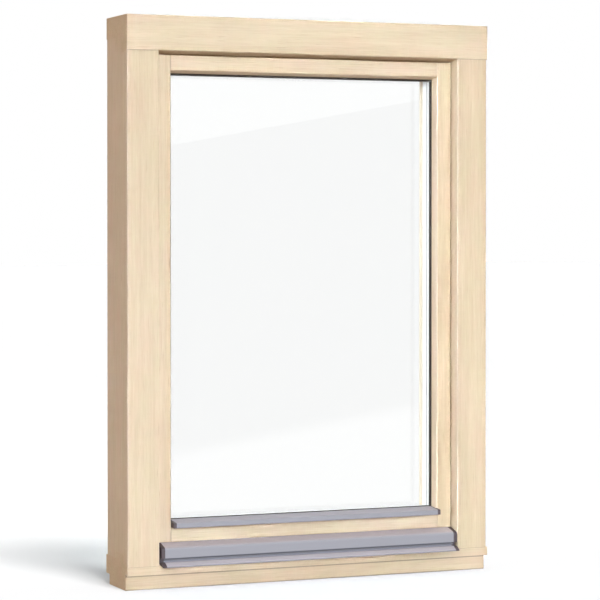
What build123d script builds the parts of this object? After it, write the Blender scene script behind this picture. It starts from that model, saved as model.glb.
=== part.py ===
import os

from build123d import *

os.makedirs("parts", exist_ok=True)

# A timber window with one sash: rebated frame and sash, triple glazing, an aluminium
# rain rail on the frame's sill and a drip rail on the sash. Millimetres, +Z up, the
# outside face looks towards -Y. The origin is the middle of the subsill's foot.

# Overall sizes
frame_width = 714.0
frame_height = 1000.0
frame_depth = 115.0

# Subsill under the frame, set back from the front and from the back
subsill_front_gap = 10.5
subsill_depth = 90.5
subsill_front_height = 33.6
subsill_back_height = 18.5
subsill_overrun = 0.4
subsill_show = 27.0
subsill_chamfer = 1.0

# Frame timber in section
head_lip_height = 63.0
head_soffit_fall = 5.0
head_left_overrun = 0.5
head_right_overrun = 1.8
jamb_lip_width = 60.0
jamb_lip_taper = 1.0
lip_depth = 33.0
rebate_step = 12.0
shoulder_depth = 63.0
sill_lip_height = 15.2
sill_lip_overhang = 7.5
sill_seat_depth = 24.0
sill_seat_rise = 5.8
sill_height = 34.0
sill_back_reach = 5.0
sill_left_overrun = 0.3
sill_right_overrun = 2.7
timber_edge = 2.0
fine_edge = 0.8

# Sash timber in section
sash_gap = 4.0
sash_face_gap = 1.0
sash_nose_depth = 9.0
sash_nose_gap = 1.5
stile_face = 38.5
stile_taper = 2.6
top_rail_face = 42.2
top_rail_fall = 3.6
bottom_rail_face = 47.4
drip_slope = 0.105
sash_lip_depth = 19.0
glazing_rebate = 16.0

# Glazing
pane_thickness = 4.0
pane_gap = 16.0
gasket_thickness = 3.0
gasket_show = 4.2
gasket_foot_show = 3.2
glass_edge_gap = 5.0
spacer_width = 10.5
bead_cover = 7.5
setting_block_length = 100.0
setting_block_inset = 60.0
bead_chamfer = 6.0
bead_clearance = 0.2

# Rebate gasket between frame and sash
rebate_gasket_inset = 1.5

# Sash drip rail
drip_rail_reach = 15.4
drip_rail_nose = 9.3
drip_rail_wall = 2.0
drip_rail_leg = 8.0
drip_rail_edge = 0.6
drip_cap_width = 5.5
drip_clearance = 0.3

# Rain rail on the frame's sill
rain_rail_reach = 3.3
rain_rail_height = 54.6
rain_rail_fall = 7.4
rain_rail_face = 18.5
rain_rail_groove = 7.3
rain_rail_groove_depth = 9.0
rain_rail_rib_height = 1.5
rain_rail_rib_reach = 6.5
rain_rail_lip_reach = 10.5
rain_rail_lip_fall = 6.0
rain_rail_lip_nose = 2.2
rain_rail_wall = 2.0
rain_rail_round = 5.0
rain_rail_back_gap = 1.0
rain_cap_width = 6.8
rain_cap_clearance = 2.8

# Handle on the inside of the left stile
handle_height = 480.0
rose_width = 34.0
rose_height = 72.0
rose_thickness = 11.0
rose_corner = 6.0
rose_edge = 2.5
lever_neck_radius = 8.0
lever_neck_length = 42.0
lever_width = 20.0
lever_thickness = 11.0
lever_length = 128.0
lever_edge = 3.5

# Hinges on the inside of the right stile
hinge_end_distance = 130.0
hinge_barrel_radius = 7.0
hinge_barrel_length = 44.0
hinge_barrel_gap = 1.0
hinge_leaf_thickness = 2.5
hinge_leaf_width = 26.0
hinge_pin_radius = 3.5
hinge_pin_length = 30.0
hinge_pin_clearance = 0.05

# Places worked out from the sizes above
front_y = -(subsill_front_gap + subsill_depth / 2)
frame_foot = subsill_show
jamb_foot = frame_foot + sill_lip_height
frame_top = frame_foot + frame_height
half_frame = frame_width / 2

sash_flange = lip_depth + sash_face_gap
sash_front = sash_flange - sash_nose_depth
sash_shoulder = shoulder_depth + gasket_thickness
glass_front = sash_front + sash_lip_depth + gasket_thickness
glass_depth = 3 * pane_thickness + 2 * pane_gap
bead_front = glass_front + glass_depth + gasket_thickness

jamb_rebate = half_frame - jamb_lip_width + rebate_step
jamb_back = jamb_rebate + rebate_step
head_soffit = frame_top - head_lip_height
head_rebate = head_soffit + rebate_step
head_back = head_rebate + rebate_step
sill_back = subsill_back_height + sill_height
sill_rebate = sill_back + rebate_step

sash_half = jamb_rebate - sash_gap
sash_half_back = jamb_back - sash_gap
sash_top = head_rebate - sash_gap
sash_top_back = head_back - sash_gap
sash_foot = sill_rebate + sash_gap
sash_foot_back = sill_back + sash_gap
nose_half = half_frame - jamb_lip_width - jamb_lip_taper - sash_nose_gap
nose_top = head_soffit - head_soffit_fall - sash_nose_gap

opening_half = sash_half - stile_face
opening_half_back = opening_half - stile_taper
sight_half = opening_half_back - gasket_show
opening_top = sash_top - top_rail_face
opening_top_back = opening_top - top_rail_fall
sight_top = opening_top_back - gasket_show
opening_foot = sash_foot + bottom_rail_face
opening_foot_back = opening_foot + drip_slope * sash_lip_depth
sight_foot = opening_foot_back + gasket_foot_show

rebate_half = opening_half_back + glazing_rebate
rebate_top = opening_top_back + glazing_rebate
rebate_foot = opening_foot_back - glazing_rebate
glass_half = rebate_half - glass_edge_gap
glass_top = rebate_top - glass_edge_gap
glass_foot = rebate_foot + glass_edge_gap
bead_half = glass_half - bead_cover
bead_top = glass_top - bead_cover
bead_foot = glass_foot + bead_cover


def section(plane, corners, eased=True):
    """A closed face on a plane, from corners given as (across, up, edge radius)."""
    with BuildSketch(plane) as face:
        with BuildLine():
            FilletPolyline(
                [(across, up) for across, up, _ in corners],
                radius=[edge * eased for _, _, edge in corners],
                close=True,
            )
        make_face()
    return face.sketch


def side_section(corners, eased=True, x=0.0):
    """A section seen from the side, as (depth behind the frame's front, height, edge)."""
    side = Plane(origin=(x, front_y, 0), x_dir=(0, 1, 0), z_dir=(1, 0, 0))
    return section(side, corners, eased)


def plan_section(corners, z, eased=True):
    """A section seen from above, as (distance from the middle, depth, edge)."""
    return section(Plane((0, front_y, z)), corners, eased)


def front_plane(depth):
    """The upright plane at a depth behind the frame's front, looked at from inside."""
    return Plane(origin=(0, front_y + depth, 0), x_dir=(1, 0, 0), z_dir=(0, -1, 0))


def ring(depth, thickness, outer, inner):
    """A flat rectangular ring; outer and inner are (half width, foot, top)."""
    with BuildPart() as frame_ring:
        with BuildSketch(front_plane(depth)):
            for (half, foot, top), mode in ((outer, Mode.ADD), (inner, Mode.SUBTRACT)):
                with Locations((0, (foot + top) / 2)):
                    Rectangle(2 * half, top - foot, mode=mode)
        extrude(amount=-thickness)
    return frame_ring.part


# Corners of the timber sections
head_corners = [
    (0, frame_top, timber_edge),
    (frame_depth, frame_top, timber_edge),
    (frame_depth, head_back, timber_edge),
    (shoulder_depth, head_back, 0),
    (shoulder_depth, head_rebate, 0),
    (lip_depth, head_rebate, 0),
    (lip_depth, head_soffit - head_soffit_fall, fine_edge),
    (0, head_soffit, timber_edge),
]
sill_corners = [
    (0, frame_foot, fine_edge),
    (0, jamb_foot, fine_edge),
    (sill_seat_depth, jamb_foot + sill_seat_rise, 0),
    (sill_seat_depth, sill_rebate, fine_edge),
    (shoulder_depth, sill_rebate, 0),
    (shoulder_depth, sill_back, 0),
    (frame_depth + sill_back_reach, sill_back, timber_edge),
    (frame_depth + sill_back_reach, subsill_back_height, timber_edge),
    (subsill_front_gap + subsill_depth, subsill_back_height, 0),
    (subsill_front_gap, subsill_front_height, 0),
    (sill_lip_overhang, subsill_front_height, 0),
    (sill_lip_overhang, frame_foot, fine_edge),
]
subsill_corners = [
    (subsill_front_gap + subsill_chamfer, 0, 0),
    (subsill_front_gap, subsill_chamfer, 0),
    (subsill_front_gap, subsill_front_height, 0),
    (subsill_front_gap + subsill_depth, subsill_back_height, 0),
    (subsill_front_gap + subsill_depth, subsill_chamfer, 0),
    (subsill_front_gap + subsill_depth - subsill_chamfer, 0, 0),
]
jamb_corners = [
    (-half_frame, 0, timber_edge),
    (-half_frame + jamb_lip_width, 0, timber_edge),
    (-half_frame + jamb_lip_width + jamb_lip_taper, lip_depth, fine_edge),
    (-jamb_rebate, lip_depth, 0),
    (-jamb_rebate, shoulder_depth, 0),
    (-jamb_back, shoulder_depth, 0),
    (-jamb_back, frame_depth, timber_edge),
    (-half_frame, frame_depth, timber_edge),
]
stile_corners = [
    (-nose_half, sash_front, fine_edge),
    (-opening_half, sash_front, timber_edge),
    (-opening_half_back, sash_front + sash_lip_depth, 0),
    (-rebate_half, sash_front + sash_lip_depth, 0),
    (-rebate_half, frame_depth, fine_edge),
    (-sash_half_back, frame_depth, timber_edge),
    (-sash_half_back, sash_shoulder, 0),
    (-sash_half, sash_shoulder, 0),
    (-sash_half, sash_flange, 0),
    (-nose_half, sash_flange, 0),
]
top_rail_corners = [
    (sash_front, nose_top, fine_edge),
    (sash_front, opening_top, timber_edge),
    (sash_front + sash_lip_depth, opening_top_back, 0),
    (sash_front + sash_lip_depth, rebate_top, 0),
    (frame_depth, rebate_top, fine_edge),
    (frame_depth, sash_top_back, timber_edge),
    (sash_shoulder, sash_top_back, 0),
    (sash_shoulder, sash_top, 0),
    (sash_flange, sash_top, 0),
    (sash_flange, nose_top, 0),
]
bottom_rail_corners = [
    (sash_front, sash_foot, fine_edge),
    (sash_front, opening_foot, fine_edge),
    (sash_front + sash_lip_depth, opening_foot_back, 0),
    (sash_front + sash_lip_depth, rebate_foot, 0),
    (frame_depth, rebate_foot, fine_edge),
    (frame_depth, sash_foot_back, timber_edge),
    (sash_shoulder, sash_foot_back, 0),
    (sash_shoulder, sash_foot, 0),
]

# The subsill carries the frame and slopes up towards the front
with BuildPart() as subsill:
    extrude(side_section(subsill_corners), amount=half_frame + subsill_overrun, both=True)
subsill.part.label = "subsill"
export_step(subsill.part, "parts/subsill.step")

# The sill and the head run through, past the outside of the jambs
with BuildPart() as frame_sill:
    sill_left = -half_frame - sill_left_overrun
    sill_length = frame_width + sill_left_overrun + sill_right_overrun
    extrude(side_section(sill_corners, x=sill_left), amount=sill_length)
frame_sill.part.label = "frame_sill"
export_step(frame_sill.part, "parts/frame_sill.step")

with BuildPart() as frame_head:
    head_left = -half_frame - head_left_overrun
    head_length = frame_width + head_left_overrun + head_right_overrun
    extrude(side_section(head_corners, x=head_left), amount=head_length)
frame_head.part.label = "frame_head"
export_step(frame_head.part, "parts/frame_head.step")

# The jambs are coped at both ends to the sections of the sill and the head
with BuildPart() as frame_jamb_left:
    extrude(plan_section(jamb_corners, jamb_foot), amount=head_back - jamb_foot)
    for corners in (sill_corners, head_corners):
        extrude(side_section(corners, eased=False), amount=frame_width, both=True, mode=Mode.SUBTRACT)
frame_jamb_left.part.label = "frame_jamb_left"
export_step(frame_jamb_left.part, "parts/frame_jamb_left.step")

with BuildPart() as frame_jamb_right:
    mirror(frame_jamb_left.part, about=Plane.YZ)
frame_jamb_right.part.label = "frame_jamb_right"
export_step(frame_jamb_right.part, "parts/frame_jamb_right.step")

# The stiles run the sash's full height, notched at both ends to its rebated outline
with BuildPart() as sash_stile_left:
    extrude(plan_section(stile_corners, sash_foot_back), amount=sash_top_back - sash_foot_back)
    for depth, low, high in (
        (sash_shoulder, sash_foot_back, sash_foot),
        (sash_shoulder, sash_top, sash_top_back),
        (sash_flange, nose_top, sash_top),
    ):
        notch_corners = [(0, low, 0), (depth, low, 0), (depth, high, 0), (0, high, 0)]
        extrude(side_section(notch_corners), amount=frame_width, both=True, mode=Mode.SUBTRACT)
sash_stile_left.part.label = "sash_stile_left"
export_step(sash_stile_left.part, "parts/sash_stile_left.step")

with BuildPart() as sash_stile_right:
    mirror(sash_stile_left.part, about=Plane.YZ)
sash_stile_right.part.label = "sash_stile_right"
export_step(sash_stile_right.part, "parts/sash_stile_right.step")

# The rails stand between the stiles, their ends coped to the stiles' section
for name, corners in (("sash_top_rail", top_rail_corners), ("sash_bottom_rail", bottom_rail_corners)):
    with BuildPart() as rail:
        extrude(side_section(corners), amount=rebate_half, both=True)
        stile = extrude(
            plan_section(stile_corners, 0, eased=False), amount=frame_top, mode=Mode.PRIVATE
        )
        add(stile, mode=Mode.SUBTRACT)
        mirror(stile, about=Plane.YZ, mode=Mode.SUBTRACT)
    rail.part.label = name
    export_step(rail.part, f"parts/{name}.step")

# Three panes with a spacer frame in each gap, bedded between two gaskets
glass_outline = (glass_half, glass_foot, glass_top)
sight_outline = (sight_half, sight_foot, sight_top)
bead_outline = (bead_half, bead_foot, bead_top)
spacer_inner_outline = (glass_half - spacer_width, glass_foot + spacer_width, glass_top - spacer_width)
pane_pitch = pane_thickness + pane_gap

for index, name in enumerate(("glass_outer_pane", "glass_middle_pane", "glass_inner_pane")):
    with BuildPart() as pane:
        with BuildSketch(front_plane(glass_front + index * pane_pitch)):
            with Locations((0, (glass_foot + glass_top) / 2)):
                Rectangle(2 * glass_half, glass_top - glass_foot)
        extrude(amount=-pane_thickness)
    pane.part.label = name
    export_step(pane.part, f"parts/{name}.step")

for index, name in enumerate(("spacer_outer", "spacer_inner")):
    spacer_front = glass_front + pane_thickness + index * pane_pitch
    spacer = ring(spacer_front, pane_gap, glass_outline, spacer_inner_outline)
    spacer.label = name
    export_step(spacer, f"parts/{name}.step")

outer_glazing_gasket = ring(
    glass_front - gasket_thickness, gasket_thickness, glass_outline, sight_outline
)
outer_glazing_gasket.label = "outer_glazing_gasket"
export_step(outer_glazing_gasket, "parts/outer_glazing_gasket.step")

inner_glazing_gasket = ring(
    bead_front - gasket_thickness, gasket_thickness, glass_outline, bead_outline
)
inner_glazing_gasket.label = "inner_glazing_gasket"
export_step(inner_glazing_gasket, "parts/inner_glazing_gasket.step")

# The glass stands on two blocks in the bottom rail's rebate
with BuildPart() as setting_blocks:
    block_places = [
        (side * (glass_half - setting_block_inset - setting_block_length / 2), 0) for side in (-1, 1)
    ]
    with BuildSketch(Plane((0, front_y + glass_front + glass_depth / 2, rebate_foot))):
        with Locations(*block_places):
            Rectangle(setting_block_length, glass_depth)
    extrude(amount=glass_foot - rebate_foot)
setting_blocks.part.label = "setting_blocks"
export_step(setting_blocks.part, "parts/setting_blocks.step")

# Glazing beads hold the glass from inside; the side beads stand between the others
top_bead_corners = [
    (bead_front, rebate_top - bead_clearance, 0),
    (frame_depth, rebate_top - bead_clearance, 0),
    (frame_depth, bead_top + bead_chamfer, fine_edge),
    (frame_depth - bead_chamfer, bead_top, fine_edge),
    (bead_front, bead_top, 0),
]
bottom_bead_corners = [
    (bead_front, rebate_foot + bead_clearance, 0),
    (frame_depth, rebate_foot + bead_clearance, 0),
    (frame_depth, bead_foot - bead_chamfer, fine_edge),
    (frame_depth - bead_chamfer, bead_foot, fine_edge),
    (bead_front, bead_foot, 0),
]
side_bead_corners = [
    (-rebate_half + bead_clearance, bead_front, 0),
    (-rebate_half + bead_clearance, frame_depth, 0),
    (-bead_half - bead_chamfer, frame_depth, fine_edge),
    (-bead_half, frame_depth - bead_chamfer, fine_edge),
    (-bead_half, bead_front, 0),
]
for name, corners in (
    ("glazing_bead_top", top_bead_corners),
    ("glazing_bead_bottom", bottom_bead_corners),
):
    with BuildPart() as bead:
        extrude(side_section(corners), amount=rebate_half - bead_clearance, both=True)
    bead.part.label = name
    export_step(bead.part, f"parts/{name}.step")

with BuildPart() as glazing_bead_left:
    extrude(plan_section(side_bead_corners, rebate_foot), amount=rebate_top - rebate_foot)
    for corners in (top_bead_corners, bottom_bead_corners):
        extrude(side_section(corners, eased=False), amount=frame_width, both=True, mode=Mode.SUBTRACT)
    for level in (rebate_top - bead_clearance, rebate_foot):
        with BuildSketch(Plane((0, front_y, level))):
            with Locations((0, frame_depth / 2)):
                Rectangle(frame_width, frame_depth)
        extrude(amount=bead_clearance, mode=Mode.SUBTRACT)
glazing_bead_left.part.label = "glazing_bead_left"
export_step(glazing_bead_left.part, "parts/glazing_bead_left.step")

with BuildPart() as glazing_bead_right:
    mirror(glazing_bead_left.part, about=Plane.YZ)
glazing_bead_right.part.label = "glazing_bead_right"
export_step(glazing_bead_right.part, "parts/glazing_bead_right.step")

# Rebate gasket between the shoulders of the frame and the sash
rebate_gasket = ring(
    shoulder_depth,
    gasket_thickness,
    (
        sash_half_back - rebate_gasket_inset,
        sash_foot_back + rebate_gasket_inset,
        sash_top_back - rebate_gasket_inset,
    ),
    (
        jamb_rebate + rebate_gasket_inset,
        sill_rebate - rebate_gasket_inset,
        head_rebate + rebate_gasket_inset,
    ),
)
rebate_gasket.label = "rebate_gasket"
export_step(rebate_gasket, "parts/rebate_gasket.step")

# Drip rail: a bent aluminium section that lies on the bottom rail's sloping lip
drip_nose = sash_front - drip_rail_reach
drip_back = glass_front - gasket_thickness - drip_clearance
drip_half = opening_half - drip_clearance - drip_cap_width


def drip_underside(depth):
    """Height of the drip rail's underside at a depth behind the frame's front."""
    return opening_foot + drip_slope * (depth - sash_front)


drip_nose_top = drip_underside(drip_nose) + drip_rail_wall
drip_rail_corners = [
    (drip_back, drip_underside(drip_back), 0),
    (drip_back, drip_underside(drip_back) + drip_rail_wall, drip_rail_edge),
    (drip_nose, drip_nose_top, fine_edge),
    (drip_nose, drip_nose_top - drip_rail_nose, 0),
    (drip_nose + drip_rail_wall, drip_nose_top - drip_rail_nose, 0),
    (drip_nose + drip_rail_wall, drip_underside(drip_nose + drip_rail_wall), 0),
    (sash_front - drip_rail_wall, drip_underside(sash_front - drip_rail_wall), 0),
    (sash_front - drip_rail_wall, opening_foot - drip_rail_leg, 0),
    (sash_front, opening_foot - drip_rail_leg, 0),
    (sash_front, opening_foot, 0),
]
with BuildPart() as sash_drip_rail:
    extrude(side_section(drip_rail_corners), amount=drip_half, both=True)
sash_drip_rail.part.label = "sash_drip_rail"
export_step(sash_drip_rail.part, "parts/sash_drip_rail.step")

# Its caps fill the space up to the stiles, thinner where they pass into the opening
drip_cap_corners = [
    (sash_front, opening_foot - drip_rail_leg, 0),
    (sash_front, drip_underside(sash_front) + drip_rail_wall, 0),
    (drip_nose, drip_nose_top, fine_edge),
    (drip_nose, drip_nose_top - drip_rail_nose, fine_edge),
]
drip_tongue_corners = [
    (sash_front, opening_foot, 0),
    (sash_front, opening_foot + drip_rail_wall, 0),
    (drip_back, drip_underside(drip_back) + drip_rail_wall, 0),
    (drip_back, drip_underside(drip_back), 0),
]
with BuildPart() as sash_drip_cap_left:
    extrude(side_section(drip_cap_corners, x=-drip_half), amount=-drip_cap_width)
    tongue_width = drip_cap_width - stile_taper - drip_clearance
    extrude(side_section(drip_tongue_corners, x=-drip_half), amount=-tongue_width)
sash_drip_cap_left.part.label = "sash_drip_cap_left"
export_step(sash_drip_cap_left.part, "parts/sash_drip_cap_left.step")

with BuildPart() as sash_drip_cap_right:
    mirror(sash_drip_cap_left.part, about=Plane.YZ)
sash_drip_cap_right.part.label = "sash_drip_cap_right"
export_step(sash_drip_cap_right.part, "parts/sash_drip_cap_right.step")

# Rain rail: a hollow aluminium section on the sill's sloping seat, between the jambs
rain_back = sill_seat_depth - rain_rail_back_gap
rain_front = -rain_rail_reach
rain_web = rain_front + rain_rail_groove_depth
rib_front = rain_web - rain_rail_rib_reach
rain_top = frame_foot + rain_rail_height
rain_nose_top = rain_top - rain_rail_fall
face_foot = rain_nose_top - rain_rail_face
groove_foot = face_foot - rain_rail_groove
rib_foot = (face_foot + groove_foot - rain_rail_rib_height) / 2
rib_top = rib_foot + rain_rail_rib_height
lip_front = rain_front - rain_rail_lip_reach
lip_slope = rain_rail_lip_fall / rain_rail_lip_reach
rain_half = half_frame - jamb_lip_width - rain_cap_clearance - rain_cap_width


def seat_height(depth):
    """Height of the sill's seat, and of its line in front of the timber."""
    return jamb_foot + sill_seat_rise * depth / sill_seat_depth


def rain_top_height(depth):
    """Height of the rain rail's sloping top."""
    return rain_top - rain_rail_fall * (rain_back - depth) / (rain_back - rain_front)


def lip_top_height(depth):
    """Height of the rain rail's lower lip, measured on its top."""
    return groove_foot - lip_slope * (rain_front - depth)


rain_rail_corners = [
    (rain_back, seat_height(rain_back), 0),
    (rain_back, rain_top, fine_edge),
    (rain_front, rain_nose_top, rain_rail_round),
    (rain_front, face_foot, 0),
    (rain_web, face_foot, 0),
    (rain_web, rib_top, 0),
    (rib_front, rib_top, 0),
    (rib_front, rib_foot, 0),
    (rain_web, rib_foot, 0),
    (rain_web, groove_foot, 0),
    (rain_front, groove_foot, 0),
    (lip_front, lip_top_height(lip_front), fine_edge),
    (lip_front, lip_top_height(lip_front) - rain_rail_lip_nose, 0),
    (lip_front + rain_rail_wall, lip_top_height(lip_front) - rain_rail_lip_nose, 0),
    (lip_front + rain_rail_wall, lip_top_height(lip_front + rain_rail_wall) - rain_rail_wall, 0),
    (rain_front, groove_foot - rain_rail_wall, 0),
    (rain_web, groove_foot - rain_rail_wall, 0),
    (rain_web, seat_height(rain_web), 0),
]
face_inside = rain_front + rain_rail_wall
web_inside = rain_web + rain_rail_wall
rain_chamber_corners = [
    (rain_back - rain_rail_wall, seat_height(rain_back) + rain_rail_wall, 0),
    (rain_back - rain_rail_wall, rain_top_height(rain_back - rain_rail_wall) - rain_rail_wall, 0),
    (face_inside, rain_top_height(face_inside) - rain_rail_wall, rain_rail_round - rain_rail_wall),
    (face_inside, face_foot + rain_rail_wall, 0),
    (web_inside, face_foot + rain_rail_wall, 0),
    (web_inside, seat_height(web_inside) + rain_rail_wall, 0),
]
with BuildPart() as rain_rail:
    extrude(side_section(rain_rail_corners), amount=rain_half, both=True)
    extrude(side_section(rain_chamber_corners), amount=rain_half, both=True, mode=Mode.SUBTRACT)
rain_rail.part.label = "rain_rail"
export_step(rain_rail.part, "parts/rain_rail.step")

rain_cap_corners = [
    (rain_back, seat_height(rain_back), 0),
    (rain_back, rain_top, fine_edge),
    (rain_front, rain_nose_top, rain_rail_round),
    (rain_front, face_foot, 0),
    (rain_web, face_foot, 0),
    (rain_web, groove_foot, 0),
    (rain_front, groove_foot, 0),
    (lip_front, lip_top_height(lip_front), fine_edge),
    (lip_front, lip_top_height(lip_front) - rain_rail_lip_nose, 0),
    (lip_front + rain_rail_wall, lip_top_height(lip_front) - rain_rail_lip_nose, 0),
    (0, jamb_foot, 0),
]
with BuildPart() as rain_rail_cap_left:
    extrude(side_section(rain_cap_corners, x=-rain_half), amount=-rain_cap_width)
rain_rail_cap_left.part.label = "rain_rail_cap_left"
export_step(rain_rail_cap_left.part, "parts/rain_rail_cap_left.step")

with BuildPart() as rain_rail_cap_right:
    mirror(rain_rail_cap_left.part, about=Plane.YZ)
rain_rail_cap_right.part.label = "rain_rail_cap_right"
export_step(rain_rail_cap_right.part, "parts/rain_rail_cap_right.step")

# Handle on the left stile: a rose on the timber and a lever on its neck
handle_x = -(rebate_half + sash_half_back) / 2
inside_face = Plane(
    origin=(handle_x, front_y + frame_depth, frame_foot + handle_height), x_dir=(-1, 0, 0), z_dir=(0, 1, 0)
)
with BuildPart() as handle_rose:
    with BuildSketch(inside_face):
        RectangleRounded(rose_width, rose_height, rose_corner)
    extrude(amount=rose_thickness)
    fillet(handle_rose.faces().sort_by(Axis.Y)[-1].edges(), rose_edge)
handle_rose.part.label = "handle_rose"
export_step(handle_rose.part, "parts/handle_rose.step")

lever_plane = inside_face.offset(rose_thickness)
with BuildPart() as handle_lever:
    with BuildSketch(lever_plane):
        Circle(lever_neck_radius)
    extrude(amount=lever_neck_length)
    with BuildSketch(lever_plane.offset(lever_neck_length)):
        with Locations((0, (lever_width - lever_length) / 2)):
            SlotOverall(lever_length, lever_width, rotation=90)
    extrude(amount=-lever_thickness)
    fillet(handle_lever.faces().sort_by(Axis.Y)[-1].edges(), lever_edge)
handle_lever.part.label = "handle_lever"
export_step(handle_lever.part, "parts/handle_lever.step")

# Barrel hinges over the joint of the right stile: the frame's half carries the pin
hinge_x = (jamb_back + sash_half_back) / 2
barrel_y = front_y + frame_depth + hinge_barrel_radius + hinge_leaf_thickness / 2
hinge_height = 2 * hinge_barrel_length + hinge_barrel_gap
lower_hinge_foot = sash_foot_back + hinge_end_distance
upper_hinge_foot = sash_top_back - hinge_end_distance - hinge_height
for name, foot in (("hinge_lower", lower_hinge_foot), ("hinge_upper", upper_hinge_foot)):
    sash_knuckle = foot + hinge_barrel_length + hinge_barrel_gap
    with BuildPart() as frame_half_hinge:
        with BuildSketch(Plane((hinge_x, barrel_y, foot))):
            Circle(hinge_barrel_radius)
        extrude(amount=hinge_barrel_length)
        with BuildSketch(Plane((hinge_x, barrel_y, foot + hinge_barrel_length))):
            Circle(hinge_pin_radius)
        extrude(amount=hinge_pin_length)
        with BuildSketch(Plane((hinge_x, front_y + frame_depth, foot))):
            Rectangle(hinge_leaf_width, hinge_leaf_thickness, align=(Align.MIN, Align.MIN))
        extrude(amount=hinge_barrel_length)
    frame_half_hinge.part.label = f"{name}_frame"
    export_step(frame_half_hinge.part, f"parts/{name}_frame.step")

    with BuildPart() as sash_half_hinge:
        with BuildSketch(Plane((hinge_x, barrel_y, sash_knuckle))):
            Circle(hinge_barrel_radius)
        extrude(amount=hinge_barrel_length)
        with BuildSketch(Plane((hinge_x, front_y + frame_depth, sash_knuckle))):
            Rectangle(hinge_leaf_width, hinge_leaf_thickness, align=(Align.MAX, Align.MIN))
        extrude(amount=hinge_barrel_length)
        with BuildSketch(Plane((hinge_x, barrel_y, sash_knuckle))):
            Circle(hinge_pin_radius + hinge_pin_clearance)
        extrude(amount=hinge_pin_length, mode=Mode.SUBTRACT)
    sash_half_hinge.part.label = f"{name}_sash"
    export_step(sash_half_hinge.part, f"parts/{name}_sash.step")
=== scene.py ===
from math import atan2, cos, hypot, pi, radians, sin, tan

import bmesh
import bpy
from mathutils import Matrix, Vector


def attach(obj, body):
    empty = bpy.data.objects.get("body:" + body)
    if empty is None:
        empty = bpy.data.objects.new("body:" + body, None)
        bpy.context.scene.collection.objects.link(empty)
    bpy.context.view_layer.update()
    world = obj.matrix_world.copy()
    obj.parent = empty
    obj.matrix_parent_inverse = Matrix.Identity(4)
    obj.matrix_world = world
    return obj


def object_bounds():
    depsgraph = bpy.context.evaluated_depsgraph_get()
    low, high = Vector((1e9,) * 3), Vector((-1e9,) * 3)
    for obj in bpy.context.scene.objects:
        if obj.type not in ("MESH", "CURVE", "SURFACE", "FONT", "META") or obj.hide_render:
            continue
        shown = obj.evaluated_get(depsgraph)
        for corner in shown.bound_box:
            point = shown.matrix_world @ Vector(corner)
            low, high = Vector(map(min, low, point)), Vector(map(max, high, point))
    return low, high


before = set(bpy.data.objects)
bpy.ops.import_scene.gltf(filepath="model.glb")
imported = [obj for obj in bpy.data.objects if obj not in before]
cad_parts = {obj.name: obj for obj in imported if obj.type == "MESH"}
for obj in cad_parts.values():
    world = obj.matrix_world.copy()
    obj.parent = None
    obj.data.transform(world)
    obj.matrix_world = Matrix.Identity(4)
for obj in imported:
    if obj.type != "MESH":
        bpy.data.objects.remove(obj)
cad_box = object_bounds()

# Frame timbers. Subsill, sill, two jambs and the head are planed softwood with a clear
# satin finish. Every member is cut along its own board, so the growth rings run with
# its length and turn to end grain where the head, the sill and the subsill stop.
CREAM_WOOD = (0.885, 0.800, 0.655)
TAN_WOOD = (0.700, 0.600, 0.440)
ROSE_WOOD = (0.840, 0.700, 0.560)
OLIVE_WOOD = (0.790, 0.735, 0.545)
END_WOOD = (0.560, 0.440, 0.300)
DASH_WOOD = (0.600, 0.480, 0.320)
# Dark colour of the joint lines. In the gaps it is partly painted shade, and on the subsill it is painted shadow.
JOINT_SHADE_WOOD = (0.210, 0.150, 0.095)
RING_WIDTH = 0.0055


class Wire:
    """One output of a shader node; Python's operators on it add Math nodes."""

    def __init__(self, tree, socket=None):
        self.tree = tree
        self.socket = socket

    def node(self, kind, settings=None, inputs=None, output=0):
        """A node of a kind: its settings first, then the values or links of its sockets."""
        made = self.tree.nodes.new(kind)
        for name, value in (settings or {}).items():
            if name == "stops":
                set_stops(made.color_ramp, value)
            else:
                setattr(made, name, value)
        for name, value in (inputs or {}).items():
            if isinstance(value, Wire):
                self.tree.links.new(value.socket, made.inputs[name])
            else:
                made.inputs[name].default_value = value
        return Wire(self.tree, made.outputs[output] if made.outputs else None)

    def math(self, operation, *values):
        return self.node("ShaderNodeMath", {"operation": operation}, dict(enumerate(values)))

    def __add__(self, other):
        return self.math("ADD", self, other)

    def __sub__(self, other):
        return self.math("SUBTRACT", self, other)

    def __rsub__(self, other):
        return self.math("SUBTRACT", other, self)

    def __mul__(self, other):
        return self.math("MULTIPLY", self, other)

    def __truediv__(self, other):
        return self.math("DIVIDE", self, other)

    def __pow__(self, other):
        return self.math("POWER", self, other)

    __radd__ = __add__
    __rmul__ = __mul__

    def mix(self, first, second):
        """This value as the factor between two colours."""
        colours = [first, second]
        for index, colour in enumerate(colours):
            if isinstance(colour, tuple):
                colours[index] = (*colour, 1.0)
        settings = {"data_type": "RGBA", "clamp_factor": True}
        return self.node("ShaderNodeMix", settings, {0: self, 6: colours[0], 7: colours[1]}, 2)


def set_stops(ramp, stops):
    """Gives a colour ramp its stops, as (place, grey)."""
    while len(ramp.elements) > len(stops):
        ramp.elements.remove(ramp.elements[-1])
    while len(ramp.elements) < len(stops):
        ramp.elements.new(1.0)
    for element, (place, grey) in zip(ramp.elements, stops):
        element.position = place
        element.color = (grey, grey, grey, 1.0)


def new_material(name):
    """A material with an empty node tree, and a wire to start its shader from."""
    material = bpy.data.materials.new(name)
    material.use_nodes = True
    material.node_tree.nodes.clear()
    return material, Wire(material.node_tree)


def finish_material(material, surface):
    """Joins a surface shader to the material's output."""
    surface.node("ShaderNodeOutputMaterial", None, {"Surface": surface})
    return material


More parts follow.
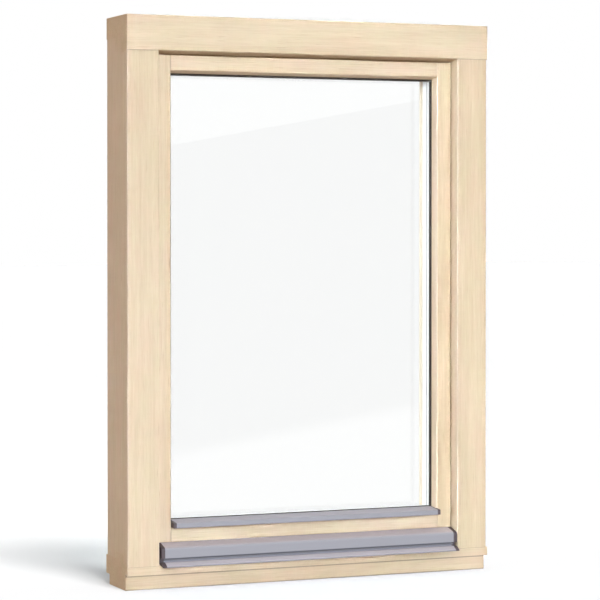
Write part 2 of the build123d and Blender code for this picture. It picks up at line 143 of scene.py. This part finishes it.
def grain_noise(wire, place, stretch, detail=2.0):
    """Noise from -0.5 to 0.5, with its cells stretched along the board."""
    scaled = wire.node("ShaderNodeCombineXYZ", None, dict(enumerate(a * b for a, b in zip(place, stretch))))
    settings = {"noise_dimensions": "3D"}
    return wire.node("ShaderNodeTexNoise", settings, {"Vector": scaled, "Scale": 1.0, "Detail": detail}) - 0.5


def timber_material(name, along, pith, tone_and_shade=0.0, joint_shade_lines=()):
    """Planed softwood whose rings centre on a pith, given in metres across the board.

    along is the row axis that the board's length follows, 0 for X and 2 for Z. Each dark line is
    given as (row axis, place on it, half its width) and darkens only the front faces. It is either a joint line that is
    partly painted shade in its gap, or a painted shadow band.
    """
    material, wire = new_material(name)
    place = wire.node("ShaderNodeTexCoord", output="Object")
    axes = [wire.node("ShaderNodeSeparateXYZ", None, {0: place}, index) for index in range(3)]
    length = axes[along]
    across = axes[2 - along]
    depth = axes[1]
    board = (length, across, depth)

    wander = grain_noise(wire, board, (1.4, 8.0, 8.0)) * 0.018 + grain_noise(wire, board, (5.0, 45.0, 45.0)) * 0.003
    square = (across - pith[0]) ** 2.0 + (depth - pith[1]) ** 2.0
    rings = (square.math("SQRT", square) + wander) / RING_WIDTH
    late_wood = rings.node(
        "ShaderNodeValToRGB",
        {"stops": [(0.0, 0.0), (0.5, 0.2), (0.85, 1.0), (0.95, 0.8), (1.0, 0.0)]},
        {0: rings.math("FRACT", rings)},
    )
    streak = grain_noise(wire, board, (6.0, 230.0, 230.0), 3.0)
    fibre = grain_noise(wire, board, (26.0, 560.0, 560.0), 2.0)
    dash = grain_noise(wire, board, (26.0, 700.0, 700.0), 1.0)
    pore = grain_noise(wire, board, (90.0, 1700.0, 1700.0), 2.0)
    patch = grain_noise(wire, board, (3.0, 26.0, 26.0), 2.0)
    tint = grain_noise(wire, board, (9.0, 30.0, 30.0), 2.0)

    # The tone darkens a whole board. It is partly the wood's own variation and partly painted shade, set to even out
    # the lamp light each board gets.
    darkness = late_wood * 0.12 + streak * 1.1 + fibre * 1.0 + pore * 0.4 + patch * 1.0 + 0.24 + tone_and_shade
    colour = darkness.mix(CREAM_WOOD, TAN_WOOD)
    colour = (tint * 1.6 + 0.12).mix(colour, ROSE_WOOD)
    colour = (tint * -1.6 + 0.16).mix(colour, OLIVE_WOOD)
    colour = (dash * 4.5 - 0.7).mix(colour, DASH_WOOD)

    normal = wire.node("ShaderNodeNewGeometry", output="Normal")
    facing = wire.node("ShaderNodeSeparateXYZ", None, {0: normal}, along)
    end_grain = facing.math("ABSOLUTE", facing) ** 4.0
    colour = (end_grain * 0.06).mix(colour, END_WOOD)
    sideways = wire.node("ShaderNodeSeparateXYZ", None, {0: normal}, 0)
    front = wire.node("ShaderNodeSeparateXYZ", None, {0: normal}, 1) * -1.0
    front = front.math("MAXIMUM", front, 0.0)
    arris = sideways * front * -2.0
    # Dark lines on the front faces: joint lines that are partly painted shade in their gaps, and painted shadow bands.
    for axis, joint, reach in joint_shade_lines:
        offset = axes[axis] - joint
        line = 1.6 - offset.math("ABSOLUTE", offset) * (1.6 / reach)
        line = line.math("MAXIMUM", line.math("MINIMUM", line, 1.0), 0.0)
        colour = (line * front * 0.66).mix(colour, JOINT_SHADE_WOOD)

    relief = wire.node(
        "ShaderNodeBump", None, {"Strength": 0.35, "Distance": 0.00025, "Height": pore - late_wood * 0.2}
    )
    surface = wire.node(
        "ShaderNodeBsdfPrincipled",
        None,
        {
            "Base Color": colour,
            "Roughness": 0.42 + fibre * 0.20 + end_grain * 0.15,
            "Specular IOR Level": 0.2,
            "Coat Weight": arris.math("MAXIMUM", arris, 0.0),
            "Coat Roughness": 0.35,
            "Coat IOR": 1.9,
            "Normal": relief,
        },
    )
    return finish_material(material, surface)


def paint(node, material):
    """Gives a CAD piece its finish."""
    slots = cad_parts[node].data.materials
    slots.clear()
    slots.append(material)


# Dark lines where the jambs meet the head and the sill: joint lines that are partly painted shade in the gap.
HEAD_FOOT = 0.9640
JAMB_FOOT = 0.0422
FRAME_JOINT_SHADE = [(2, HEAD_FOOT, 0.0008), (2, JAMB_FOOT, 0.0005)]
# The subsill's two dark lines are painted shadow: one under the sill's overhanging lip, and one along its foot on the
# floor.
paint("subsill", timber_material("subsill_wood", 0, (-0.140, 0.060), 0.04, [(2, 0.0262, 0.0034), (2, 0.0, 0.0020)]))
paint("frame_sill", timber_material("sill_wood", 0, (-0.090, 0.050), 0.0))
paint("frame_jamb_left", timber_material("jamb_left_wood", 2, (-0.395, 0.170), 0.0, FRAME_JOINT_SHADE))
# The right jamb's darker tone is partly painted shade, which offsets the reveal lamp that lights it.
paint("frame_jamb_right", timber_material("jamb_right_wood", 2, (0.430, 0.150), 0.22, FRAME_JOINT_SHADE))
paint("frame_head", timber_material("head_wood", 0, (0.915, 0.160), -0.02))

# Sash timbers. Two stiles run the full height and the two rails stand between them,
# coped to their moulding. The same planed softwood as the frame, from other boards.
# Dark line where the rails meet the left stile: a joint line that is partly painted shade in the gap.
STILE_JOINT_SHADE = [(0, -0.2665, 0.0009)]
paint("sash_stile_left", timber_material("stile_left_wood", 2, (-0.230, 0.200), 0.12))
# The right stile's much darker tone is mostly painted shade, which offsets the reveal lamp that lights it.
paint("sash_stile_right", timber_material("stile_right_wood", 2, (0.350, 0.190), 0.60))
paint("sash_top_rail", timber_material("top_rail_wood", 0, (1.010, 0.140), -0.02, STILE_JOINT_SHADE))
paint("sash_bottom_rail", timber_material("bottom_rail_wood", 0, (0.010, 0.120), 0.14, STILE_JOINT_SHADE))

# Glazing beads. Slips of the same wood, mitre-free: the long ones lie at the head and
# the foot and the upright ones stand between them, pinned into the rebate from inside.
for bead, grain, pith in (
    ("glazing_bead_top", 0, (0.860, 0.100)),
    ("glazing_bead_bottom", 0, (0.060, 0.110)),
    ("glazing_bead_left", 2, (-0.310, 0.120)),
    ("glazing_bead_right", 2, (0.220, 0.120)),
):
    paint(bead, timber_material(bead + "_wood", grain, pith, 0.02))

# Triple glazing. Three clear panes, held apart by two pale spacer bars with a grey
# sealed edge. The unit stands on two setting blocks in the bottom rail's rebate.
glass_material, glass_wire = new_material("clear_glass")
glass_place = glass_wire.node("ShaderNodeTexCoord", output="Object")
glass_film = glass_wire.node(
    "ShaderNodeTexNoise", {"noise_dimensions": "3D"}, {"Vector": glass_place, "Scale": 9.0, "Detail": 4.0}
)
glass_surface = glass_wire.node(
    "ShaderNodeBsdfPrincipled",
    None,
    {
        "Base Color": glass_film.mix((0.994, 0.998, 0.997), (0.998, 1.0, 0.999)),
        "Roughness": glass_film * 0.004,
        "IOR": 1.5,
        "Transmission Weight": 1.0,
    },
)
lamp_ray = glass_wire.node("ShaderNodeLightPath", output="Is Shadow Ray")
open_to_lamps = glass_wire.node("ShaderNodeBsdfTransparent", None, {"Color": (0.97, 0.98, 0.98, 1.0)})
finish_material(
    glass_material, glass_wire.node("ShaderNodeMixShader", None, {0: lamp_ray, 1: glass_surface, 2: open_to_lamps})
)
for pane in ("glass_outer_pane", "glass_middle_pane", "glass_inner_pane"):
    paint(pane, glass_material)


def plastic_material(name, dark, light, roughness, grain=2200.0, metallic=0.0):
    """Moulded or extruded stuff with a fine grain in its skin."""
    material, wire = new_material(name)
    place = wire.node("ShaderNodeTexCoord", output="Object")
    skin = wire.node(
        "ShaderNodeTexNoise", {"noise_dimensions": "3D"}, {"Vector": place, "Scale": grain, "Detail": 2.0}
    )
    cloud = wire.node(
        "ShaderNodeTexNoise", {"noise_dimensions": "3D"}, {"Vector": place, "Scale": 45.0, "Detail": 3.0}
    )
    relief = wire.node("ShaderNodeBump", None, {"Strength": 0.25, "Distance": 0.00008, "Height": skin})
    surface = wire.node(
        "ShaderNodeBsdfPrincipled",
        None,
        {
            "Base Color": (cloud * 0.7 + skin * 0.3).mix(dark, light),
            "Roughness": roughness + (cloud - 0.5) * 0.12,
            "Metallic": metallic,
            "Normal": relief,
        },
    )
    return finish_material(material, surface)


spacer_material = plastic_material("spacer_bar", (0.86, 0.86, 0.86), (0.92, 0.92, 0.92), 0.45)
paint("spacer_outer", spacer_material)
paint("spacer_inner", spacer_material)
paint("setting_blocks", plastic_material("setting_block", (0.05, 0.06, 0.08), (0.08, 0.09, 0.12), 0.5))

# Seals. Black extruded rubber beds the glass on both sides, and a softer one closes
# the rebate between the shoulders of the frame and the sash.
rubber_material = plastic_material("black_rubber", (0.026, 0.023, 0.022), (0.042, 0.038, 0.035), 0.62, 900.0)
paint("outer_glazing_gasket", rubber_material)
paint("rebate_gasket", rubber_material)
paint("inner_glazing_gasket", plastic_material("pale_tape", (0.62, 0.61, 0.58), (0.72, 0.71, 0.68), 0.6, 900.0))


# Aluminium rails. The drip rail on the sash and the larger rain rail on the sill are
# extruded sections with a satin anodised skin, drawn out along their length.
DARK_SATIN = (0.310, 0.328, 0.394)
PALE_SATIN = (0.354, 0.368, 0.440)
# The rails' paler colour on upward faces is painted light from above.
TOP_LIGHT_COLOUR = (0.800, 0.770, 0.890)
# A dark band painted at the rain rail's groove height stands for the shade in the groove.
GROOVE_HEIGHT = 0.0532
GROOVE_REACH = 0.0040
GROOVE_SHADE_STRENGTH = 0.36


def anodised_material(name, top_light_share):
    """Satin anodised aluminium with faint die lines along X, painted light on its upward faces and painted shade in the
    groove.
    """
    material, wire = new_material(name)
    place = wire.node("ShaderNodeTexCoord", output="Object")
    axes = [wire.node("ShaderNodeSeparateXYZ", None, {0: place}, index) for index in range(3)]
    die_line = grain_noise(wire, axes, (2.0, 1500.0, 1500.0), 3.0)
    cloud = grain_noise(wire, axes, (6.0, 30.0, 30.0), 2.0)
    normal = wire.node("ShaderNodeNewGeometry", output="Normal")
    upward = wire.node("ShaderNodeSeparateXYZ", None, {0: normal}, 2)
    # Painted light: upward faces are lifted toward a paler colour, as if lit from above.
    top_light = upward.math("MAXIMUM", upward, 0.0) ** 3.0 * top_light_share
    colour = top_light.mix((0.5 + die_line * 0.5 + cloud * 0.6).mix(DARK_SATIN, PALE_SATIN), TOP_LIGHT_COLOUR)
    # Painted shade: the colour is pulled toward black around the groove's height.
    offset = axes[2] - GROOVE_HEIGHT
    line = 1.5 - offset.math("ABSOLUTE", offset) * (1.5 / GROOVE_REACH)
    line = line.math("MINIMUM", line, 1.0)
    relief = wire.node("ShaderNodeBump", None, {"Strength": 0.2, "Distance": 0.00005, "Height": die_line})
    surface = wire.node(
        "ShaderNodeBsdfPrincipled",
        None,
        {
            "Base Color": (line.math("MAXIMUM", line, 0.0) * GROOVE_SHADE_STRENGTH).mix(colour, (0.0, 0.0, 0.0)),
            "Metallic": 0.3,
            "Roughness": 0.58 + die_line * 0.10 + cloud * 0.06,
            "Normal": relief,
        },
    )
    return finish_material(material, surface)


# Each rail's number is its share of painted light on its upward faces.
paint("sash_drip_rail", anodised_material("drip_anodised", 0.56))
paint("rain_rail", anodised_material("rain_anodised", 0.96))

# End caps. Dark grey moulded plastic plugs close both ends of each rail.
cap_material = plastic_material("cap_plastic", (0.070, 0.055, 0.070), (0.110, 0.090, 0.110), 0.45)
CAPS = ("sash_drip_cap_left", "sash_drip_cap_right", "rain_rail_cap_left", "rain_rail_cap_right")
for cap in CAPS:
    paint(cap, cap_material)

# Handle and hinges, on the room side. Die-cast and turned metal with a satin finish.
fitting_material = plastic_material("satin_metal", (0.55, 0.55, 0.56), (0.62, 0.62, 0.63), 0.34, 1500.0, 0.9)
FITTINGS = (
    "handle_rose",
    "handle_lever",
    "hinge_lower_frame",
    "hinge_lower_sash",
    "hinge_upper_frame",
    "hinge_upper_sash",
)
for fitting in FITTINGS:
    paint(fitting, fitting_material)

# Hinge screws. Low domed heads with a six-lobed socket, two to each hinge leaf, driven
# into the stile and the jamb. Zinc-plated steel, a little darker than the leaves.
LEAF_FACE = 0.06175
SCREW_RADIUS = 0.0037
SCREW_TOP_RADIUS = 0.0033
SCREW_RISE = 0.0011
SCREW_RIM = 0.0003
SCREW_SIDES = 36
SOCKET_RADIUS = 0.0016
SOCKET_LOBE = 0.00025
SOCKET_DEPTH = 0.0008
SCREW_STEP = 0.013
LEAF_CENTRES = ((0.306, 0.2535), (0.332, 0.2085), (0.306, 0.8320), (0.332, 0.7870))
TOWARDS_ROOM = Matrix.Rotation(-pi / 2, 4, "X")
screw_mesh = bmesh.new()
for side, height in LEAF_CENTRES:
    for step in (-SCREW_STEP, SCREW_STEP):
        centre = Vector((side, LEAF_FACE + SCREW_RISE / 2, height + step))
        head = bmesh.ops.create_cone(
            screw_mesh,
            cap_ends=True,
            segments=SCREW_SIDES,
            radius1=SCREW_RADIUS,
            radius2=SCREW_TOP_RADIUS,
            depth=SCREW_RISE,
            matrix=Matrix.Translation(centre) @ TOWARDS_ROOM,
        )
        top = max({face for vert in head["verts"] for face in vert.link_faces}, key=lambda face: face.calc_center_median().y)
        rim = list(top.edges)
        bmesh.ops.inset_region(screw_mesh, faces=[top], thickness=SCREW_TOP_RADIUS - SOCKET_RADIUS)
        for vert in top.verts:
            turn = atan2(vert.co.z - centre.z, vert.co.x - centre.x)
            reach = SOCKET_RADIUS + SOCKET_LOBE * cos(6 * turn)
            vert.co.x = centre.x + reach * cos(turn)
            vert.co.z = centre.z + reach * sin(turn)
        socket = bmesh.ops.extrude_discrete_faces(screw_mesh, faces=[top])
        bmesh.ops.translate(screw_mesh, verts=socket["faces"][0].verts, vec=(0, -SOCKET_DEPTH, 0))
        bmesh.ops.bevel(
            screw_mesh, geom=rim, offset=SCREW_RIM, segments=3, affect="EDGES", profile=0.5, material=-1
        )
screw_data = bpy.data.meshes.new("hinge_screws")
screw_mesh.to_mesh(screw_data)
screw_mesh.free()
hinge_screws = bpy.data.objects.new("hinge_screws", screw_data)
bpy.context.scene.collection.objects.link(hinge_screws)
screw_data.materials.append(
    plastic_material("zinc_plated", (0.42, 0.42, 0.43), (0.52, 0.52, 0.53), 0.38, 1500.0, 0.9)
)
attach(hinge_screws, "root")

# Bead pins. Small steel pin heads hold the glazing beads from the room side, spaced
# evenly along each bead and left a hair proud of the wood.
BEAD_FACE = 0.0593
PIN_RADIUS = 0.0010
PIN_RISE = 0.0003
PIN_RIM = 0.0001
PIN_SIDES = 20
BEAD_SIDE = 0.2765
BEAD_FOOT = 0.1053
BEAD_HEAD = 0.9388
PIN_PLACES = [(side, BEAD_FOOT + 0.0695 + 0.1389 * step) for side in (-BEAD_SIDE, BEAD_SIDE) for step in range(6)]
PIN_PLACES += [(-0.21 + 0.14 * step, level) for level in (BEAD_FOOT, BEAD_HEAD) for step in range(4)]
pin_mesh = bmesh.new()
for side, height in PIN_PLACES:
    stand = Matrix.Translation((side, BEAD_FACE + PIN_RISE / 2, height)) @ TOWARDS_ROOM
    head = bmesh.ops.create_cone(
        pin_mesh, cap_ends=True, segments=PIN_SIDES, radius1=PIN_RADIUS, radius2=PIN_RADIUS, depth=PIN_RISE, matrix=stand
    )
    top = max({face for vert in head["verts"] for face in vert.link_faces}, key=lambda face: face.calc_center_median().y)
    bmesh.ops.bevel(
        pin_mesh, geom=list(top.edges), offset=PIN_RIM, segments=2, affect="EDGES", profile=0.5, material=-1
    )
pin_data = bpy.data.meshes.new("bead_pins")
pin_mesh.to_mesh(pin_data)
pin_mesh.free()
bead_pins = bpy.data.objects.new("bead_pins", pin_data)
bpy.context.scene.collection.objects.link(bead_pins)
pin_data.materials.append(plastic_material("pin_steel", (0.34, 0.34, 0.35), (0.46, 0.46, 0.47), 0.40, 1500.0, 0.9))
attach(bead_pins, "root")

# Floor. A pale level sheet that runs out to white and keeps the window's shadow. A
# broad lamp high in front of the window is for the sheet alone and throws that shadow.
FLOOR_REACH = 30.0
FLOOR_SEEN = (0.75, 0.75, 0.75)
FLOOR_BOUNCE = (0.285, 0.203, 0.149)
FLOOR_LIFT = (0.028, 0.110, 0.198)
CONTACT_REACH = 0.050
CONTACT_DEPTH = 0.30
SHADOW_LAMP_FROM = (0.025, -0.490, 0.872)
SHADOW_LAMP_STRENGTH = 3.07
SHADOW_LAMP_SPREAD = radians(18)
floor_mesh = bmesh.new()
bmesh.ops.create_grid(floor_mesh, x_segments=1, y_segments=1, size=FLOOR_REACH)
bmesh.ops.translate(floor_mesh, verts=floor_mesh.verts, vec=(0, 0, cad_box[0][2]))
floor_data = bpy.data.meshes.new("floor")
floor_mesh.to_mesh(floor_data)
floor_mesh.free()
floor = bpy.data.objects.new("floor", floor_data)
bpy.context.scene.collection.objects.link(floor)

floor_material, floor_wire = new_material("floor_sheet")
seen = floor_wire.node("ShaderNodeLightPath", output="Is Camera Ray")
mirrored = floor_wire.node("ShaderNodeLightPath", output="Is Glossy Ray")
through = floor_wire.node("ShaderNodeLightPath", output="Is Transmission Ray")
# Painted contact shadow: ambient occlusion dims the sheet's glow close to the window.
contact = floor_wire.node("ShaderNodeAmbientOcclusion", {"samples": 8}, {"Distance": CONTACT_REACH}, "AO")
contact_shade = 1.0 - (1.0 - contact) * CONTACT_DEPTH
sheet = floor_wire.node("ShaderNodeBsdfDiffuse", None, {"Color": seen.mix(FLOOR_BOUNCE, FLOOR_SEEN)})
lift = floor_wire.node("ShaderNodeEmission", None, {"Color": (*FLOOR_LIFT, 1.0), "Strength": seen * contact_shade})
lit = floor_wire.node("ShaderNodeAddShader", None, {0: sheet, 1: lift})
white = floor_wire.node("ShaderNodeEmission", None, {"Color": (1, 1, 1, 1), "Strength": 1.0})
floor_surface = floor_wire.node(
    "ShaderNodeMixShader", None, {0: (mirrored + through).math("MINIMUM", mirrored + through, 1.0), 1: lit, 2: white}
)
finish_material(floor_material, floor_surface)
floor_data.materials.append(floor_material)


def sun_lamp(name, toward, strength, spread, receivers=(), colour=(1.0, 1.0, 1.0)):
    """A distant lamp in a direction; it lights only its receivers where any are given."""
    lamp_data = bpy.data.lights.new(name, "SUN")
    lamp_data.energy = strength
    lamp_data.angle = spread
    lamp_data.color = colour
    lamp = bpy.data.objects.new(name, lamp_data)
    lamp.rotation_euler = Vector(toward).to_track_quat("Z", "Y").to_euler()
    bpy.context.scene.collection.objects.link(lamp)
    if receivers:
        lit_group = bpy.data.collections.new(name + "_receivers")
        for receiver in receivers:
            lit_group.objects.link(receiver)
        lamp.light_linking.receiver_collection = lit_group
    return lamp


sun_lamp("shadow_lamp", SHADOW_LAMP_FROM, SHADOW_LAMP_STRENGTH, SHADOW_LAMP_SPREAD, [floor])

# Light on the window. A daylight key stands high in front of it, a little to the left.
# Weak lamps reach the right-hand reveals, the edge of the glass, the top rail from below
# and the room side, and one gives the rounded edges their shine, in a warm surround.
KEY_SIDE = radians(7)
KEY_RISE = radians(14)
KEY_FROM = (-sin(KEY_SIDE) * cos(KEY_RISE), -cos(KEY_SIDE) * cos(KEY_RISE), sin(KEY_RISE))
KEY_STRENGTH = 2.14
KEY_SPREAD = radians(8)
KEY_COLOUR = (0.98, 1.035, 1.045)
REVEAL_LAMP_FROM = (-0.995, -0.095, 0.03)
JAMB_REVEAL_STRENGTH = 1.40
STILE_REVEAL_STRENGTH = 1.8
REVEAL_LAMP_SPREAD = radians(4)
GLASS_LAMP_FROM = (-0.90, -0.43, 0.05)
GLASS_LAMP_STRENGTH = 2.0
GLASS_LAMP_SPREAD = radians(8)
UNDER_LAMP_FROM = (-0.05, -0.12, -0.99)
UNDER_LAMP_STRENGTH = 0.36
UNDER_LAMP_COLOUR = (1.0, 0.86, 0.67)
UNDER_LAMP_SPREAD = radians(12)
ROOM_LAMP_FROM = (0.12, 0.97, 0.20)
ROOM_LAMP_STRENGTH = 1.9
ROOM_LAMP_SPREAD = radians(12)
EDGE_LAMP_FROM = (-0.920, -0.391, 0.05)
EDGE_LAMP_STRENGTH = 1.7
EDGE_LAMP_SPREAD = radians(16)
SURROUND = (0.450, 0.342, 0.224)


timbers = [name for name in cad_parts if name.startswith(("frame_", "sash_stile", "glazing_bead"))]
timbers += ["sash_top_rail", "sash_bottom_rail", "subsill"]
room_side = timbers + list(FITTINGS) + ["inner_glazing_gasket"]


def nodes_of(names):
    return [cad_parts[name] for name in names]


small_pieces = [hinge_screws, bead_pins]
sun_lamp("key", KEY_FROM, KEY_STRENGTH, KEY_SPREAD, nodes_of(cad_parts) + small_pieces, KEY_COLOUR)
sun_lamp(
    "jamb_reveal_lamp",
    REVEAL_LAMP_FROM,
    JAMB_REVEAL_STRENGTH,
    REVEAL_LAMP_SPREAD,
    nodes_of(["frame_jamb_right"]),
)
sun_lamp(
    "stile_reveal_lamp",
    REVEAL_LAMP_FROM,
    STILE_REVEAL_STRENGTH,
    REVEAL_LAMP_SPREAD,
    nodes_of(["sash_stile_right", "outer_glazing_gasket"]),
)
sun_lamp(
    "glass_lamp",
    GLASS_LAMP_FROM,
    GLASS_LAMP_STRENGTH,
    GLASS_LAMP_SPREAD,
    nodes_of(["spacer_outer", "spacer_inner", "inner_glazing_gasket", "glazing_bead_right"]),
)
under_lamp = sun_lamp(
    "under_lamp",
    UNDER_LAMP_FROM,
    UNDER_LAMP_STRENGTH,
    UNDER_LAMP_SPREAD,
    nodes_of(["sash_top_rail"]),
    UNDER_LAMP_COLOUR,
)
under_shades = bpy.data.collections.new("under_lamp_shades")
under_shades.objects.link(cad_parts["sash_top_rail"])
under_lamp.light_linking.blocker_collection = under_shades
sun_lamp(
    "room_lamp",
    ROOM_LAMP_FROM,
    ROOM_LAMP_STRENGTH,
    ROOM_LAMP_SPREAD,
    nodes_of(room_side) + small_pieces,
    KEY_COLOUR,
)
edge_lamp = sun_lamp("edge_lamp", EDGE_LAMP_FROM, EDGE_LAMP_STRENGTH, EDGE_LAMP_SPREAD, nodes_of(timbers))
edge_lamp.visible_diffuse = False

world = bpy.data.worlds.new("surround")
bpy.context.scene.world = world
world.use_nodes = True
world.node_tree.nodes.clear()
sky = Wire(world.node_tree)
sky_seen = sky.node("ShaderNodeLightPath", output="Is Camera Ray")
sky_mirrored = sky.node("ShaderNodeLightPath", output="Is Glossy Ray")
sky_through = sky.node("ShaderNodeLightPath", output="Is Transmission Ray")
shown = sky_seen + sky_mirrored + sky_through
backdrop = sky.node("ShaderNodeBackground", None, {"Color": shown.mix(SURROUND, (1.0, 1.0, 1.0)), "Strength": 1.0})
sky.node("ShaderNodeOutputWorld", None, {"Surface": backdrop})

# Reflection card. It stands to the right in front of the window, seen by nothing but the
# panes' reflections, and lays a faint grey band across them, crisp above and soft below.
CARD_PLACE = -1.5
CARD_LEFT = (0.0394, 0.0226, 0.8007)
CARD_RIGHT = (1.2449, 0.2072, 1.0216)
CARD_LEVEL = 0.74
CARD_FADE = 0.030
card_mesh = bmesh.new()
card_corners = []
for side, foot, top in (CARD_LEFT, CARD_RIGHT):
    card_corners.append((card_mesh.verts.new((side, CARD_PLACE, foot)), card_mesh.verts.new((side, CARD_PLACE, top))))
card_mesh.faces.new((card_corners[0][0], card_corners[1][0], card_corners[1][1], card_corners[0][1]))
card_data = bpy.data.meshes.new("reflection_card")
card_mesh.to_mesh(card_data)
card_mesh.free()
card = bpy.data.objects.new("reflection_card", card_data)
bpy.context.scene.collection.objects.link(card)
card.visible_camera = False
card.visible_diffuse = False
card.visible_shadow = False
card.visible_volume_scatter = False

card_material, card_wire = new_material("reflection_card")
card_spot = card_wire.node("ShaderNodeTexCoord", output="Object")
card_side, _, card_height = [card_wire.node("ShaderNodeSeparateXYZ", None, {0: card_spot}, index) for index in range(3)]
card_slope = (CARD_RIGHT[1] - CARD_LEFT[1]) / (CARD_RIGHT[0] - CARD_LEFT[0])
above_foot = card_height - CARD_LEFT[1] - (card_side - CARD_LEFT[0]) * card_slope
fade = above_foot / CARD_FADE
bounces = card_wire.node("ShaderNodeLightPath", output="Glossy Depth")
card_shown = bounces.math("MINIMUM", bounces, 1.0)
card_level = 1.0 - card_shown * fade.math("MINIMUM", fade, 1.0) * (1.0 - CARD_LEVEL)
card_light = card_wire.node("ShaderNodeEmission", None, {"Color": (1, 1, 1, 1), "Strength": card_level})
finish_material(card_material, card_light)
card_data.materials.append(card_material)

# Camera. It stands left of the window at eye height and looks along the photograph's
# direction. A small tilt and a small shift share what keeps the uprights upright.
EYE = (-1.7369, -4.1219, 0.6601)
LOOK_SIDEWAYS = radians(22.836)
TILT = radians(0.72)
FOCAL_LENGTH = 4.0222
SHIFT_DOWN = -0.0818
camera_data = bpy.data.cameras.new("camera")
camera_data.lens = FOCAL_LENGTH * camera_data.sensor_width
camera_data.shift_y = SHIFT_DOWN
camera = bpy.data.objects.new("camera", camera_data)
camera.location = EYE
camera.rotation_euler = (pi / 2 - TILT, 0.0, -LOOK_SIDEWAYS)
bpy.context.scene.collection.objects.link(camera)
bpy.context.scene.camera = camera

bpy.context.scene.view_settings.view_transform = "Standard"
